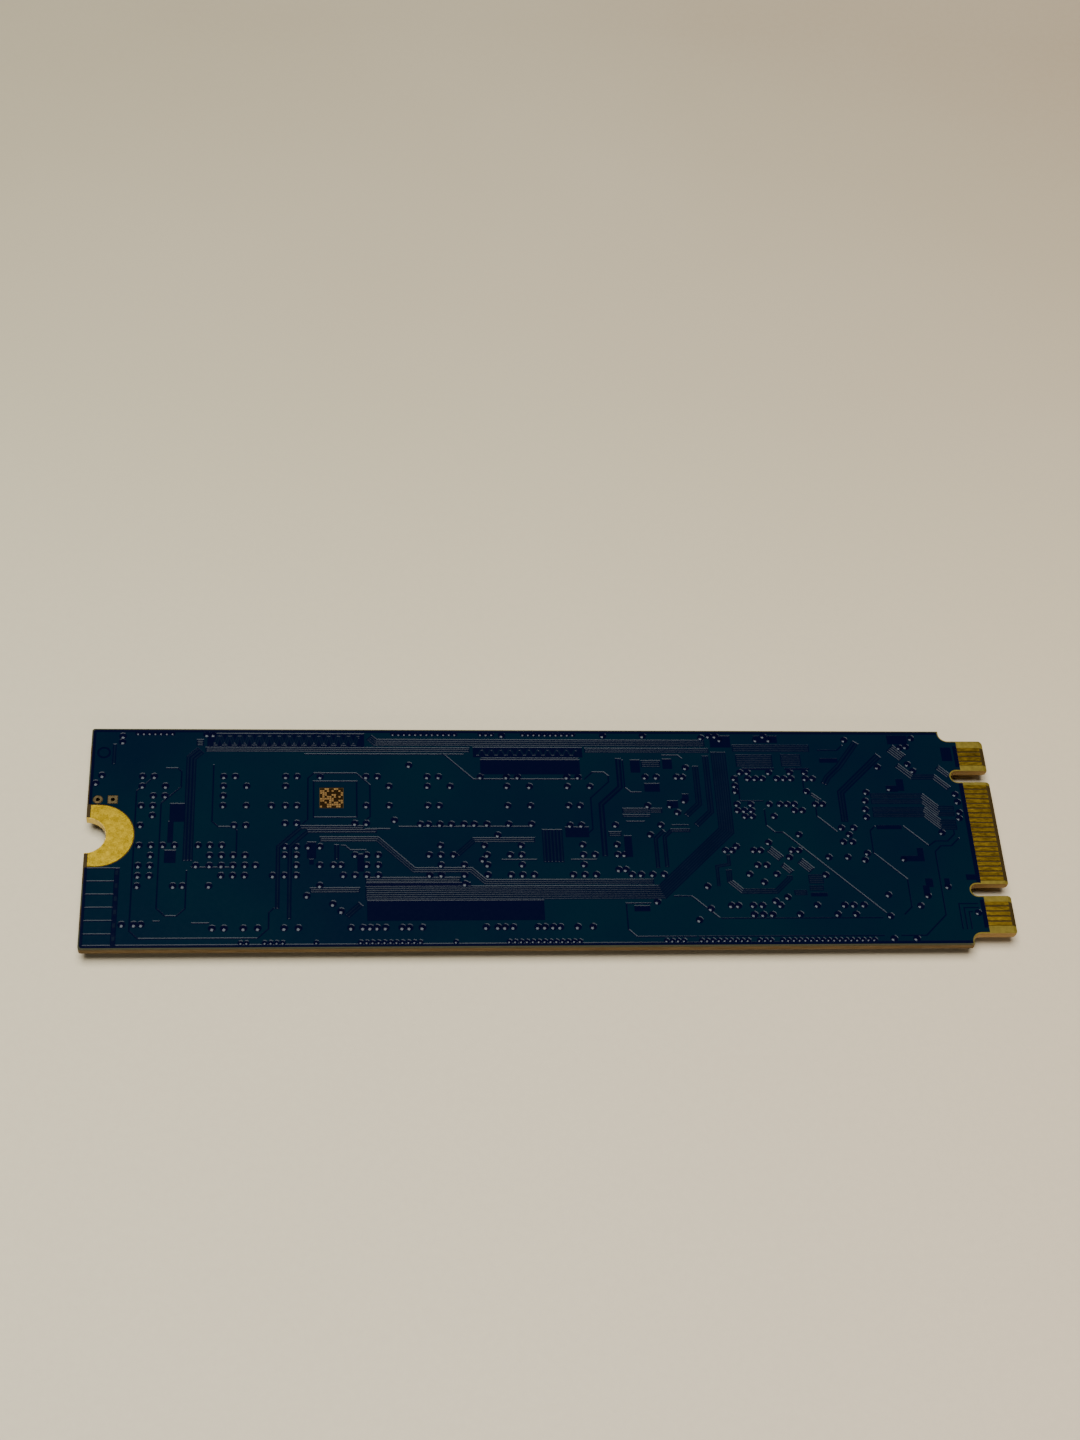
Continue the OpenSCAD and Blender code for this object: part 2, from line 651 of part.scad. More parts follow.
module dome(r = via_r) {
    h = copper_h + via_rise * r / via_r;
    translate([0, 0, top_z - copper_h]) rotate_extrude() polygon([
        [0, 0], [r, 0], [0.85 * r, 0.3 * h], [0.65 * r, 0.6 * h], [0.4 * r, 0.85 * h], [0.15 * r, h], [0, h]
    ]);
}

module pit(r = via_r) {
    w = r + via_gap;
    translate([0, 0, top_z - copper_h])
        cylinder(r1 = w, r2 = w + pour_slope * (1 + eps / copper_h), h = copper_h + eps);
}

// Vias under each flash package, in rows, as [y, [distances along the card from its centre]]
flash_via_rows = [
    [
        [6, [-4.5, -3.5, 2.5, 3.5]], [5, [-4.5, -2.5, 2.5, 4.5]], [4, [-3.5, -2.5, 2.5]],
        [3, [-4.5, -3.5, 2.5, 4.5]], [2, [-3.5]], [1, [-4.5, 3.5, 4.5]],
        [-1, [-4.5, -3.5, -2.5, -1.5, 0.5, 1.5, 2.5]], [-2, [-3.5, 1.5, 2.5, 3.5, 4.5]],
        [-3, [-4.5, -3.5, 0.35, 1.5, 2.5, 3.5, 4.5, 5.4]], [-4, [-4.5, -3.5, 2.5, 3.5, 4.5]],
        [-5, [-4.5, -1.5, -0.7, 1.5]]
    ],
    [
        [6, [-4.5, -3.5, -1.5, 2.5, 3.5]], [5, [-4.5, 4.5]], [3, [-5.7, -4.5, -3.5, 2.5, 4.5]],
        [1.2, [-4.5, -3.5, 1.5, 2.5]], [-1.15, [-4.5, -3.5, -2.5, -1.5]],
        [-2, [-4.5, -3.5, 1.5, 2.5, 3.5]], [-3, [-3.5, -1.5, -0.35, 0.3, 2.5, 3.5]],
        [-4, [-5.5, -4.5, -3.5, 0.5, 1.5, 2.5, 3.5]], [-5, [-1.5]], [-6, [-2.6]],
        [-6.8, [-0.4]], [-7.5, [0.3]]
    ],
    [
        [6, [-4.5, -3.5, 0.2, 2.5, 3.5]], [5, [-4.5, -2.5, 2.5, 4.5]],
        [3, [-4.5, -3.5, 2.5, 4.5]], [1.1, [-5.2, -4.5, -3.5, -2.5, -1.4, -0.5, 0.6, 2.5, 4.5]],
        [0, [1.5]], [-1.05, [-3.5, 0.3, 3.5]], [-2, [-4.5, -3.5, -2.4, 0.5, 2.5, 3.5]],
        [-2.5, [0.1]], [-3, [-3.5, -1.5, 0.5, 3.5]],
        [-4, [-4.5, -3.5, -1.5, 0.5, 2.5, 3.5, 4.5]], [-4.87, [-1.5]]
    ],
    [
        [6, [-4.5, -3.5, 2.5, 3.5, 5.3, 5.85]], [5, [-4.5, -2.5]], [3, [-4.5, -3.5, 2.5, 4.5]],
        [1, [-4.5, -3.5, -0.5, 3.5]], [0, [2.5]], [-1, [-3.5, -0.5]],
        [-2, [-3.5, -2.5, -0.5, 0.1]], [-3, [-3.5]], [-3.5, [-0.5, 0.1]],
        [-4, [-4.5, -3.5, -2.5, 0.6, 1.4, 2.4, 3.4]], [3.5, [5.8]], [2.3, [5.1]], [7, [6.2]]
    ]
];

module at_flash_vias() {
    for (i = [0:flash_count - 1]) for (row = flash_via_rows[i]) for (dx = row[1])
        translate([flash_x(i) + dx, row[0]]) children();
}

module flash_vias() {
    color("#2c5f8a") at_flash_vias() dome();
}

// The other vias, in rows, as [y, [places along the card]]
left_via_rows = [
    [10.4, [-30, -29.45, -3.9, 5.2, 8.8]], [7.2, [-12.25]], [5.3, [-39.4]], [6.1, [-38.9]],
    [9.6, [-37.3]], [10.2, [-37.3]], [-8.7, [-36.5, -35.5, -34.9]], [1.5, [-13.6]],
    [-9.1, [
        -29, -28, -26.4, -25.2, -23, -21.8, -17.4, -16.4, -15.8, -15.2, -14.5, -13.1, -12.5,
        -11.4, -6, -5, -4.4, -3.7, -1.6, -1, -0.3, 0.3, 1.8, 3.1
    ]],
    [-6.7, [8.8]], [-8.5, [12.3]], [-7.4, [13.4]], [-5.2, [13.3]]
];
right_via_rows = [
    [10.4, [14.8, 15.4, 19.8]], [10.2, [14.1]], [10, [15.8, 19.1, 20.3, 27.2]],
    [6.5, [17.3, 17.95, 19.9, 21.8, 23.15]],
    [5.85, [16.7, 17.95, 18.6, 19.25, 20.55, 21.2, 21.85, 23.15, 23.8]],
    [5.1, [16.7]], [4.5, [16.7, 23.1]],
    [3.15, [16.7, 17.95, 19.6, 20.55, 21.2, 21.85, 23.75, 24.4]],
    [2.5, [16.7, 17.3, 17.95, 21.8, 22.5]], [1.9, [17.3, 17.95, 19.9]], [0.7, [25.8, 26.9]],
    [0, [21.9, 26.4]], [-0.75, [25.8, 26.6]], [-0.8, [19.1]], [-1.2, [16.2]],
    [-1.6, [15.2, 15.8, 17.7, 18.3, 21.1, 21.7]], [-2.3, [20.8, 24.3, 26]],
    [-3.1, [17.9, 18.7]], [-4, [17.1, 19.5]], [-4.8, [18.3]], [-4.1, [23.8]],
    [-6.3, [20.2]], [-6.7, [19.1]], [-7.1, [15.2, 15.8, 17.1, 17.9, 19.5, 22.7, 25.1, 25.9, 26.8]],
    [-8, [17.1, 17.9, 18.7, 21.1, 24.4, 26]],
    [9.2, [32.2]], [9.3, [32.8]], [10.2, [33.4]], [7.1, [29.9]], [7.4, [32.7]], [6.7, [33.1]],
    [4.4, [28.5]], [3.5, [28.3]], [2.6, [28.2]], [1.8, [28.2]], [4.8, [30.7]], [4.2, [36.6]],
    [3.4, [36.7]], [2.3, [36.7]], [1.7, [36.6]], [0.2, [34.8]], [-1.9, [27.8]], [-2.6, [27.5]],
    [-2.5, [31]], [-5.3, [34.5]], [-6.2, [32.6]], [-6.1, [29.1]], [-7.2, [31.8]], [-8.2, [29]],
    [-7.9, [36.8]], [-10.4, [29, 31]]
];

module at_controller_vias() {
    translate([from_screw_end, 0]) for (row = left_via_rows) for (x = row[1])
        translate([x, row[0]]) children();
    translate([from_card_edge, 0]) for (row = right_via_rows) for (x = row[1])
        translate([x, row[0]]) children();
}

module controller_vias() {
    color("#2c5f8a") at_controller_vias() dome();
}

// Small stitching vias along the long edges, in runs, as [first, last]
fence_pitch = 0.5;
fence_inset = 0.5;
fence_r = 0.18;
near_runs_left = [[-26.6, -26.1], [-24.6, -23], [-20.3, -20.3], [-16.6, -11.6], [-8.6, -8.6], [-4.1, 1.9]];
near_runs_right = [[9.3, 10.8], [12.3, 16.3], [17.3, 18.3], [19.3, 27.3]];
far_runs_left = [[-36, -33], [-13.6, -8.1], [-5.8, -4.8], [-2, 2.5]];

module at_edge_vias() {
    near_y = fence_inset - board_w / 2;
    for (run = near_runs_left) for (x = [run[0]:fence_pitch:run[1] + eps])
        translate([from_screw_end + x, near_y]) children();
    for (run = near_runs_right) for (x = [run[0]:fence_pitch:run[1] + eps])
        translate([from_card_edge + x, near_y]) children();
    for (run = far_runs_left) for (x = [run[0]:fence_pitch:run[1] + eps])
        translate([from_screw_end + x, -near_y]) children();
}

module edge_vias() {
    color("#2c5f8a") at_edge_vias() dome(fence_r);
}

// Packages on the component side, which hang below the card

// Turns a part that is drawn standing on z = 0 to hang from the component side
module hang(x, y, turn = 0) {
    translate([x, y, under_h]) rotate([180, 0, turn]) children();
}

dot_depth = 0.03;

// A moulded package on a thin substrate, with a round dot near its first ball
module moulded(l, w, h, base_h, step, dot_r) {
    difference() {
        union() {
            translate([-l / 2, -w / 2, 0]) cube([l, w, base_h]);
            translate([-l / 2 + step, -w / 2 + step, 0]) cube([l - 2 * step, w - 2 * step, h]);
        }
        translate([-l / 2 + 3 * dot_r, -w / 2 + 3 * dot_r, h - dot_depth])
            cylinder(r = dot_r, h = 1);
    }
}

// A solder ball, pressed flat where it meets the package and the card
module ball(x, y, r, h) {
    flat = 0.75 * r;
    bulge = 0.95 * r;
    translate([x, y, 0]) rotate_extrude() polygon([
        [0, 0], [flat, 0], [bulge, h * 0.25], [r, h * 0.5], [bulge, h * 0.75], [flat, h], [0, h]
    ]);
}

substrate_h = 0.2;
flash_step = 0.04;
flash_dot_r = 0.45;
flash_ball_r = 0.23;
flash_ball_cols = 11;
flash_ball_rows = 6;

module flash_package(i) {
    color("#1c1d20") hang(flash_x(i), 0) translate([0, 0, flash_ball_h])
        moulded(flash_l, flash_w, flash_h, substrate_h, flash_step, flash_dot_r);
}

module flash_balls() {
    color("#b9bcc0") for (i = [0:flash_count - 1]) hang(flash_x(i), 0)
        for (c = [0:flash_ball_cols - 1], r = [1:flash_ball_rows], s = [-1, 1])
            ball((c - (flash_ball_cols - 1) / 2) * flash_pitch, s * r * flash_pitch,
                flash_ball_r, flash_ball_h);
}

controller_place = [from_card_edge + 20.5, 4.4];
controller_ball_h = 0.2;
controller_pitch = 0.65;
controller_grid = 16;
controller_ball_r = 0.16;

module controller_package() {
    color("#232427") hang(controller_place.x, controller_place.y)
        translate([0, 0, controller_ball_h])
            moulded(controller_s, controller_s, controller_h, substrate_h, 0.3, 0.3);
}

// Four rows of balls round the rim and a small field in the middle
function in_ring(i, n) = min(i, n - 1 - i) < 4;
function in_core(i, n) = min(i, n - 1 - i) > 5;

module controller_balls() {
    n = controller_grid;
    color("#b9bcc0") hang(controller_place.x, controller_place.y)
        for (i = [0:n - 1], j = [0:n - 1])
            if (in_ring(i, n) || in_ring(j, n) || (in_core(i, n) && in_core(j, n)))
                ball((i - (n - 1) / 2) * controller_pitch, (j - (n - 1) / 2) * controller_pitch,
                    controller_ball_r, controller_ball_h);
}

memory_place = [from_card_edge + 21.5, -5.2];
memory_ball_h = 0.25;
memory_pitch = 0.8;
memory_ball_r = 0.2;

module memory_package() {
    color("#1c1d20") hang(memory_place.x, memory_place.y) translate([0, 0, memory_ball_h])
        moulded(memory_l, memory_w, memory_h, substrate_h, flash_step, 0.35);
}

module memory_balls() {
    color("#b9bcc0") hang(memory_place.x, memory_place.y)
        for (c = [0:15], r = [2:4], s = [-1, 1])
            ball((c - 7.5) * memory_pitch, s * r * memory_pitch, memory_ball_r, memory_ball_h);
}

// Power section

power_place = [from_card_edge + 29.4, 4.4];
power_s = 4;
power_h = 0.75;
lead_t = 0.1;
power_lead_pitch = 0.5;
power_leads = 6;

module power_chip() {
    color("#202124") hang(power_place.x, power_place.y) difference() {
        translate([-power_s / 2, -power_s / 2, lead_t]) cube([power_s, power_s, power_h]);
        translate([-power_s / 2 + 0.6, -power_s / 2 + 0.6, lead_t + power_h - dot_depth])
            cylinder(r = 0.2, h = 1);
    }
}

// Bottom pads of the power chip: a row on each side and a square heat pad
module power_chip_pads() {
    color("#b9bcc0") hang(power_place.x, power_place.y) {
        translate([-1.2, -1.2, 0]) cube([2.4, 2.4, lead_t]);
        for (turn = [0:90:270], i = [0:power_leads - 1]) rotate(turn)
            translate([power_s / 2 - 0.45, (i - (power_leads - 1) / 2) * power_lead_pitch - 0.13, 0])
                cube([0.5, 0.26, lead_t]);
    }
}

inductor_size = [2.5, 2, 1];
inductor_end = 0.3;
inductor_places = [
    for (p = [[28.6, 8.6], [31.6, 8.6], [34.4, 8.6], [34.4, -1.4]]) p + [from_card_edge, 0]
];

module inductor_cores() {
    s = inductor_size;
    color("#4b4d52") for (p = inductor_places) hang(p.x, p.y) difference() {
        translate([-s.x / 2, -s.y / 2, 0]) cube(s);
        for (side = [-1, 1]) translate([side * s.x / 2, 0, 0])
            cube([2 * inductor_end, s.y + 1, 2 * lead_t], center = true);
    }
}

module inductor_terminals() {
    s = inductor_size;
    color("#b9bcc0") for (p = inductor_places, side = [-1, 1]) hang(p.x, p.y)
        translate([side * (s.x - inductor_end) / 2, 0, lead_t / 2])
            cube([inductor_end, s.y * 0.8, lead_t], center = true);
}

// A two-ended chip part: body between its end caps
module chip_body(s, cap) {
    translate([-s.x / 2 + cap, -s.y / 2, 0]) cube([s.x - 2 * cap, s.y, s.z]);
}

module chip_caps(s, cap) {
    grow = 0.02;
    for (side = [-1, 1]) translate([side * (s.x - cap) / 2, 0, (s.z + grow) / 2])
        cube([cap, s.y + 2 * grow, s.z + grow], center = true);
}

small_chip = [1, 0.5, 0.5];
small_cap = 0.25;
bulk_chip = [2, 1.25, 0.85];
bulk_cap = 0.4;
resistor_chip = [1, 0.5, 0.35];

// Places of the small parts, as [x, y, turn]
capacitor_places = [
    for (y = [-9:1.5:9]) [from_screw_end + 13, y, 90],
    for (x = [27.4:1.4:35]) [from_card_edge + x, 7, 0],
    for (y = [-3:1.2:-0.6]) [from_card_edge + 29, y, 0]
];
bulk_places = [for (x = [28.2:2.4:34.5]) [from_card_edge + x, 1.3, 0]];
resistor_places = [
    for (y = [-8.4:1.5:8.4]) [from_screw_end + 14.1, y, 90],
    for (x = [29.4:1.4:35], y = [-8, -9.2]) [from_card_edge + x, y, 0]
];

module place_all(places) {
    for (p = places) hang(p[0], p[1], p[2]) children();
}

module capacitor_bodies() {
    color("#a5845c") place_all(capacitor_places) chip_body(small_chip, small_cap);
}

module capacitor_caps() {
    color("#c4c6c8") place_all(capacitor_places) chip_caps(small_chip, small_cap);
}

module bulk_capacitor_bodies() {
    color("#a5845c") place_all(bulk_places) chip_body(bulk_chip, bulk_cap);
}

module bulk_capacitor_caps() {
    color("#c4c6c8") place_all(bulk_places) chip_caps(bulk_chip, bulk_cap);
}

module resistor_bodies() {
    color("#26272a") place_all(resistor_places) chip_body(resistor_chip, small_cap * 0.8);
}

module resistor_caps() {
    color("#c4c6c8") place_all(resistor_places) chip_caps(resistor_chip, small_cap * 0.8);
}

crystal_place = [from_card_edge + 30.2, -5];
crystal_size = [2.5, 2];
crystal_base_h = 0.35;
crystal_lid_h = 0.2;

module crystal_base() {
    color("#4a4640") hang(crystal_place.x, crystal_place.y)
        linear_extrude(crystal_base_h) square(crystal_size, center = true);
}

module crystal_lid() {
    color("#c9cacc") hang(crystal_place.x, crystal_place.y) translate([0, 0, crystal_base_h])
        linear_extrude(crystal_lid_h) offset(r = 0.2) square(crystal_size - [0.7, 0.7], center = true);
}

regulator_places = [[from_card_edge + 33.8, 4.4, 0], [from_card_edge + 33.6, -5, 90]];
regulator_size = [1.6, 2, 0.7];
regulator_lead_w = 0.3;
regulator_lead_l = 0.45;
regulator_pitch = 0.65;

module regulator_bodies() {
    s = regulator_size;
    color("#202124") place_all(regulator_places)
        translate([-s.x / 2, -s.y / 2, lead_t]) cube(s);
}

// Gull leads: a foot on the card and a short rise to the body
module regulator_leads() {
    s = regulator_size;
    rise = lead_t + s.z / 2;
    color("#b9bcc0") place_all(regulator_places) for (side = [0, 180], i = [-1:1]) rotate(side)
        translate([s.x / 2, i * regulator_pitch + regulator_lead_w / 2, 0]) rotate([90, 0, 0])
            linear_extrude(regulator_lead_w) polygon([
                [0, rise - lead_t], [0.15, rise - lead_t], [0.2, 0], [regulator_lead_l, 0],
                [regulator_lead_l, lead_t], [0.28, lead_t], [0.22, rise], [0, rise]
            ]);
}

circuit_board();
solder_mask_back();
solder_mask_front();
gold_fingers_back();
gold_fingers_front();
screw_ring_back();
screw_ring_front();
castellation_plating();
through_hole_pads();
data_patch();
fiducials();
layer_marks();
far_bus_tracks();
memory_bus_tracks();
loop_tracks();
fan_out_tracks();
controller_tracks();
lane_tracks();
flash_vias();
controller_vias();
edge_vias();
flash_package(0);  // flash_package_1
flash_package(1);  // flash_package_2
flash_package(2);  // flash_package_3
flash_package(3);  // flash_package_4
flash_balls();
controller_package();
controller_balls();
memory_package();
memory_balls();
power_chip();
power_chip_pads();
inductor_cores();
inductor_terminals();
capacitor_bodies();
capacitor_caps();
bulk_capacitor_bodies();
bulk_capacitor_caps();
resistor_bodies();
resistor_caps();
crystal_base();
crystal_lid();
regulator_bodies();
regulator_leads();
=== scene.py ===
"""Looks for a gumstick solid state drive that lies solder side up on a sheet of pale paper."""

from math import copysign, cos, pi, radians, sin

import bmesh
import bpy
from mathutils import Matrix, Vector

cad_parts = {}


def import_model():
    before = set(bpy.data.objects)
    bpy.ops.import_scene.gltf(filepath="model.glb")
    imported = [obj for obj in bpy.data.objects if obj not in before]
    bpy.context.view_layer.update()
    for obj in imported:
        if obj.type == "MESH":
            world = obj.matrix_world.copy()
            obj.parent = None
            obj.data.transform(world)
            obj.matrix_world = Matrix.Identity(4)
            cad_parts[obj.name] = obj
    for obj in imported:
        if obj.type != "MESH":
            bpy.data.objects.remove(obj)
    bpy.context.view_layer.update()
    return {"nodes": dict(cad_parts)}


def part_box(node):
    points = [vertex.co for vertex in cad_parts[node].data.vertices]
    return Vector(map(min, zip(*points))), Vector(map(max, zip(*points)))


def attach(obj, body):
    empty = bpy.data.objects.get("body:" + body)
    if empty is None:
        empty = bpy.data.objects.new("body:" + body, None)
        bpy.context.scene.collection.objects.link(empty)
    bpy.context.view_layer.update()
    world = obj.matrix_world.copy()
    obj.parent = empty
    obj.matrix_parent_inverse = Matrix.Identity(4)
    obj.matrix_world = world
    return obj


MM = 0.001

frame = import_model()


# Camera, solved from the photograph: metres, unit directions, and a lens in millimetres

EYE = (-0.02024, -0.10264, 0.17132)
LOOK = (0.09673, 0.55826, -0.82401)
ACROSS = (0.99530, -0.05109, 0.08223)
LENS = 57.1
SENSOR = 36


def photo_camera():
    """Puts the camera at the photograph's place, square to its line of sight."""
    forward = Vector(LOOK).normalized()
    right = Vector(ACROSS)
    right = (right - right.dot(forward) * forward).normalized()
    up = right.cross(forward)
    camera = bpy.data.objects.new("camera", bpy.data.cameras.new("camera"))
    bpy.context.scene.collection.objects.link(camera)
    axes = Matrix((right, up, -forward)).transposed()
    camera.matrix_world = Matrix.Translation(EYE) @ axes.to_4x4()
    camera.data.lens = LENS
    camera.data.sensor_width = SENSOR
    camera.data.clip_start = 0.005
    camera.data.clip_end = 20
    bpy.context.scene.camera = camera


photo_camera()


# Node helpers

BLACK = (0, 0, 0)
WHITE = (1, 1, 1)


class Surface:
    """A Principled material whose colour, roughness and bump are built from procedural nodes."""

    def __init__(self, name, **constants):
        self.mat = bpy.data.materials.new(name)
        self.mat.use_nodes = True
        self.tree = self.mat.node_tree
        self.bsdf = self.tree.nodes["Principled BSDF"]
        for key, value in constants.items():
            self.bsdf.inputs[key.replace("_", " ")].default_value = value

    def node(self, kind, **settings):
        made = self.tree.nodes.new(kind)
        for key, value in settings.items():
            setattr(made, key, value)
        return made

    def link(self, source, target):
        self.tree.links.new(source, target)

    def place(self, stretch=(1, 1, 1)):
        """Object coordinates in millimetres, divided by stretch."""
        coords = self.node("ShaderNodeTexCoord")
        mapping = self.node("ShaderNodeMapping")
        mapping.inputs["Scale"].default_value = [1 / (MM * s) for s in stretch]
        self.link(coords.outputs["Object"], mapping.inputs["Vector"])
        return mapping.outputs["Vector"]

    def noise(self, size, detail=2, stretch=(1, 1, 1), rough=0.5):
        """Noise with features of about this size in millimetres."""
        made = self.node("ShaderNodeTexNoise")
        made.inputs["Scale"].default_value = 1 / size
        made.inputs["Detail"].default_value = detail
        made.inputs["Roughness"].default_value = rough
        self.link(self.place(stretch), made.inputs["Vector"])
        return made.outputs["Fac"]

    def axis(self, letter):
        """One object coordinate in millimetres."""
        split = self.node("ShaderNodeSeparateXYZ")
        self.link(self.place(), split.inputs[0])
        return split.outputs["XYZ".index(letter)]

    def facing(self, letter):
        """One component of the surface normal in object space."""
        coords = self.node("ShaderNodeTexCoord")
        split = self.node("ShaderNodeSeparateXYZ")
        self.link(coords.outputs["Normal"], split.inputs[0])
        return split.outputs["XYZ".index(letter)]

    def span(self, value, low, high, to_low=0.0, to_high=1.0):
        """The value's way from low to high, carried over to to_low and to_high."""
        made = self.node("ShaderNodeMapRange", clamp=True)
        for key, number in (
            ("From Min", low), ("From Max", high), ("To Min", to_low), ("To Max", to_high)
        ):
            made.inputs[key].default_value = number
        self.link(value, made.inputs["Value"])
        return made.outputs["Result"]

    def ramp(self, value, *stops):
        """A colour for the value, from stops that are each a place and an RGB triple."""
        made = self.node("ShaderNodeValToRGB")
        points = made.color_ramp.elements
        while len(points) < len(stops):
            points.new(0.5)
        for point, (at, colour) in zip(points, stops):
            point.position = at
            point.color = (*colour, 1)
        self.link(value, made.inputs["Fac"])
        return made.outputs["Color"]

    def mix(self, share, first, second, how="MIX"):
        """Mixes two colours; each is a socket or an RGB triple."""
        made = self.node("ShaderNodeMix", data_type="RGBA", blend_type=how)
        inputs = [s for s in made.inputs if s.enabled]
        for value, socket in zip((share, first, second), inputs):
            if isinstance(value, bpy.types.NodeSocket):
                self.link(value, socket)
            elif isinstance(value, (int, float)):
                socket.default_value = value
            else:
                socket.default_value = (*value, 1)
        return next(s for s in made.outputs if s.enabled)

    def band(self, value, low, high):
        """White where the value lies between low and high, black elsewhere, with soft ends."""
        above = self.mix(self.span(value, low - 0.04, low + 0.02), BLACK, WHITE)
        return self.mix(self.span(value, high - 0.02, high + 0.04), above, BLACK)

    def patches(self, size, first, second):
        """Two colours that drift into each other over about this size in millimetres."""
        return self.mix(self.span(self.noise(size), 0.3, 0.7), first, second)

    def colour(self, source):
        self.link(source, self.bsdf.inputs["Base Color"])

    def roughness(self, value, low, high):
        self.link(self.span(value, 0.25, 0.75, low, high), self.bsdf.inputs["Roughness"])

    def bump(self, value, height, strength=1.0):
        """Bump of this height in millimetres."""
        made = self.node("ShaderNodeBump")
        made.inputs["Distance"].default_value = height * MM
        made.inputs["Strength"].default_value = strength
        self.link(value, made.inputs["Height"])
        old = self.bsdf.inputs["Normal"].links
        if old:
            self.link(old[0].from_socket, made.inputs["Normal"])
        self.link(made.outputs["Normal"], self.bsdf.inputs["Normal"])


# Materials

POUR = (0.0004, 0.0058, 0.0205)
POUR_LIGHT = (0.0009, 0.0098, 0.0215)
FLOOR_OF_POUR = (0.0011, 0.0019, 0.0165)

# Heights in millimetres between which a colour changes
POUR_STEP = (1.984, 1.997)
PATCH_STEP = (1.965, 1.99)
SKIN_STEP = (1.72, 1.92)

# Where along the card the bare tab's face, and the painted lighter tone of its edges, begin
TAB_FACE = (35.6, 36.2)
TAB_EDGE = (35.8, 36.3)

# The least gap between two groups of fingers
GROUP_GAP = 0.8


def solder_mask(name, step=None):
    """Glossy ink: pour colour on the copper, darker indigo where the laminate lies under it."""
    s = Surface(name, Specular_IOR_Level=0.08, Roughness=0.2)
    s.bsdf.inputs["Specular Tint"].default_value = (0.80, 0.92, 1.0, 1)
    cloud = s.noise(13, detail=3)
    ink = s.mix(s.span(cloud, 0.3, 0.7), POUR, POUR_LIGHT)
    if step:
        ink = s.mix(s.span(s.axis("Z"), *step), FLOOR_OF_POUR, ink)
    s.colour(ink)
    s.roughness(s.noise(0.35, detail=4), 0.13, 0.18)
    s.bump(s.noise(0.8, detail=2), 0.0004)
    return s.mat


def track_ink():
    """Ink over the fine copper tracks."""
    s = Surface("track_ink", Specular_IOR_Level=0.07)
    s.bsdf.inputs["Specular Tint"].default_value = (0.82, 0.93, 1.0, 1)
    s.colour(s.patches(2.5, (0.0012, 0.0042, 0.0170), (0.0018, 0.0058, 0.0200)))
    s.roughness(s.noise(0.3, detail=3), 0.18, 0.26)
    s.bump(s.noise(0.3, detail=2), 0.0006)
    return s.mat


def via_ink():
    """Ink that tents a via: darker and glossier."""
    s = Surface("via_ink", Specular_IOR_Level=0.17)
    s.bsdf.inputs["Specular Tint"].default_value = (0.74, 0.88, 1.0, 1)
    s.colour(s.patches(1.5, (0.0008, 0.0012, 0.0130), (0.0013, 0.0019, 0.0170)))
    s.roughness(s.noise(0.2, detail=2), 0.08, 0.13)
    s.bump(s.noise(0.3), 0.0004)
    return s.mat


def gold(name, grain, rough, deep, light, stretch=(1, 1, 1), height=0.0015):
    """Plated gold: two tones, drawn out along one axis where it is brushed."""
    s = Surface(name, Metallic=1.0)
    coarse = s.noise(grain * 4, detail=3, stretch=stretch)
    fine = s.noise(grain, detail=5, stretch=stretch, rough=0.65)
    tone = s.mix(0.5, s.span(coarse, 0.3, 0.7), s.span(fine, 0.25, 0.75))
    s.colour(s.ramp(tone, (0.1, deep), (0.9, light)))
    s.roughness(fine, rough - 0.08, rough + 0.1)
    s.bump(fine, height)
    return s.mat


def finger_groups():
    """The lowest and highest y of each group of fingers on the solder side, in millimetres."""
    ys = sorted(v.co.y / MM for v in frame["nodes"]["gold_fingers_back"].data.vertices)
    gaps = [i for i in range(1, len(ys)) if ys[i] - ys[i - 1] > GROUP_GAP]
    return [(ys[a], ys[b - 1]) for a, b in zip([0] + gaps, gaps + [len(ys)])]


def laminate():
    """Glass-epoxy: olive on its faces, with painted shade between the fingers, tan and layered at
    its edges, and painted lighter on the tab's edges.
    """
    s = Surface("laminate", Specular_IOR_Level=0.12)
    layers = s.noise(0.16, detail=3, stretch=(14, 14, 1))
    weave = s.noise(0.3, detail=2)
    along = s.axis("X")
    across = s.axis("Y")
    sawn = s.ramp(
        layers, (0.25, (0.075, 0.044, 0.015)), (0.5, (0.125, 0.078, 0.028)),
        (0.75, (0.185, 0.122, 0.050))
    )
    # Painted light: a lighter copy of the edge colour, for the tab's edges and key slot walls.
    lit_tab_edge = s.ramp(
        layers, (0.25, (0.23, 0.134, 0.040)), (0.5, (0.33, 0.205, 0.068)),
        (0.75, (0.44, 0.290, 0.110))
    )
    edge = s.mix(s.span(s.axis("Z"), *SKIN_STEP), sawn, (0.055, 0.054, 0.030))
    # Painted light: past TAB_EDGE the edges take the lighter copy of the edge colour.
    edge = s.mix(s.span(along, *TAB_EDGE), edge, lit_tab_edge)
    tab = s.ramp(weave, (0.3, (0.110, 0.086, 0.010)), (0.7, (0.160, 0.127, 0.018)))
    face = s.mix(s.span(along, *TAB_FACE), (0.032, 0.036, 0.020), tab)
    # Painted shade: darker laminate in the narrow gaps between each group's fingers.
    for low, high in finger_groups():
        face = s.mix(s.band(across, low, high), face, (0.034, 0.022, 0.005))
    s.colour(s.mix(s.span(s.facing("Z"), 0.6, 0.8), edge, face))
    s.roughness(weave, 0.5, 0.7)
    s.bump(layers, 0.006)
    return s.mat


def bare_copper():
    """Copper with darker etched cells between its raised squares."""
    s = Surface("bare_copper", Metallic=1.0)
    fine = s.noise(0.12, detail=4)
    raised = s.ramp(fine, (0.3, (0.110, 0.064, 0.022)), (0.7, (0.185, 0.115, 0.046)))
    s.colour(s.mix(s.span(s.axis("Z"), *PATCH_STEP), (0.012, 0.007, 0.003), raised))
    s.roughness(fine, 0.38, 0.52)
    s.bump(fine, 0.002)
    return s.mat


def times(tone, share):
    return [share * c for c in tone]


